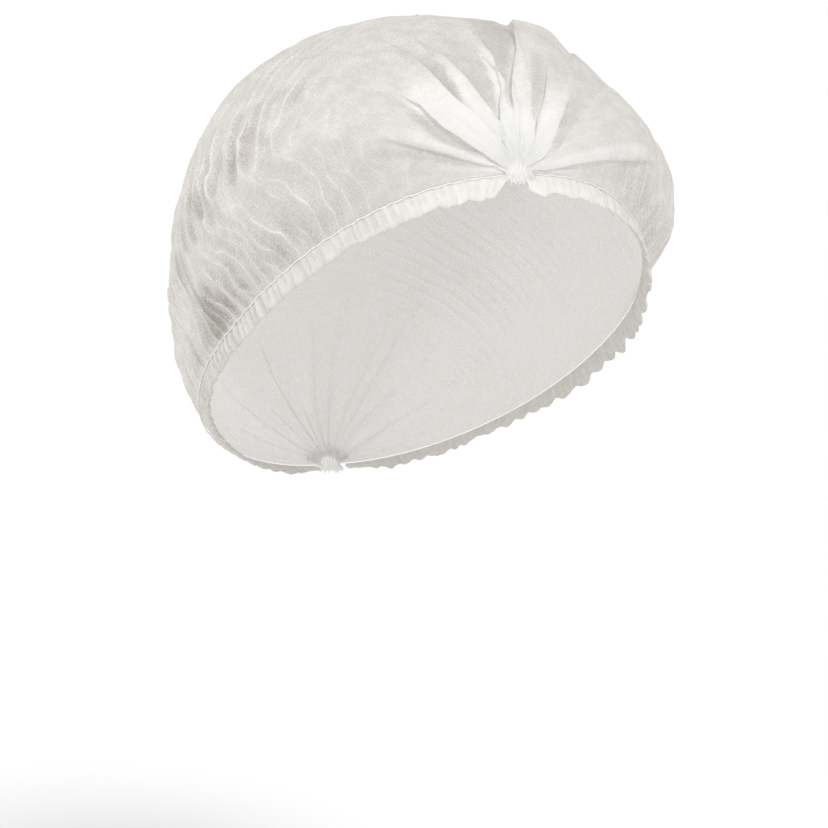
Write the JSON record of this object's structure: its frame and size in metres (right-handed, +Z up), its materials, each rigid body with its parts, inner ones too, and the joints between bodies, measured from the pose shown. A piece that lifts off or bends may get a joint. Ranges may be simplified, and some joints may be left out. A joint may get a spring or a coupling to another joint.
{
  "type": "disposable hair cover cap",
  "caption": "Puffed cap of thin pleated cloth in its worn shape, gathered to welded ends at forehead and nape, with a ruffled elastic hem round the head opening.",
  "frame": {"origin": "the middle of the head opening, where the band sits round the head", "axes": "+Y from the face to the nape, +X to the wearer's left, +Z up; the opening slopes down by 36.8 degrees from the forehead to the nape"},
  "size_m": [0.2048, 0.2173, 0.2009],
  "materials": {
    "cloth": "thin translucent nonwoven cloth",
    "hem_cloth": "folded nonwoven cloth",
    "elastic": "covered elastic thread",
    "weld": "fused pleats of nonwoven cloth"
  },
  "bodies": {
    "root": {"crown": "cloth", "hem_right": "hem_cloth", "hem_left": "hem_cloth", "elastic_right": "elastic", "elastic_left": "elastic", "weld_front": "weld", "weld_rear": "weld"}
  },
  "joints": []
}
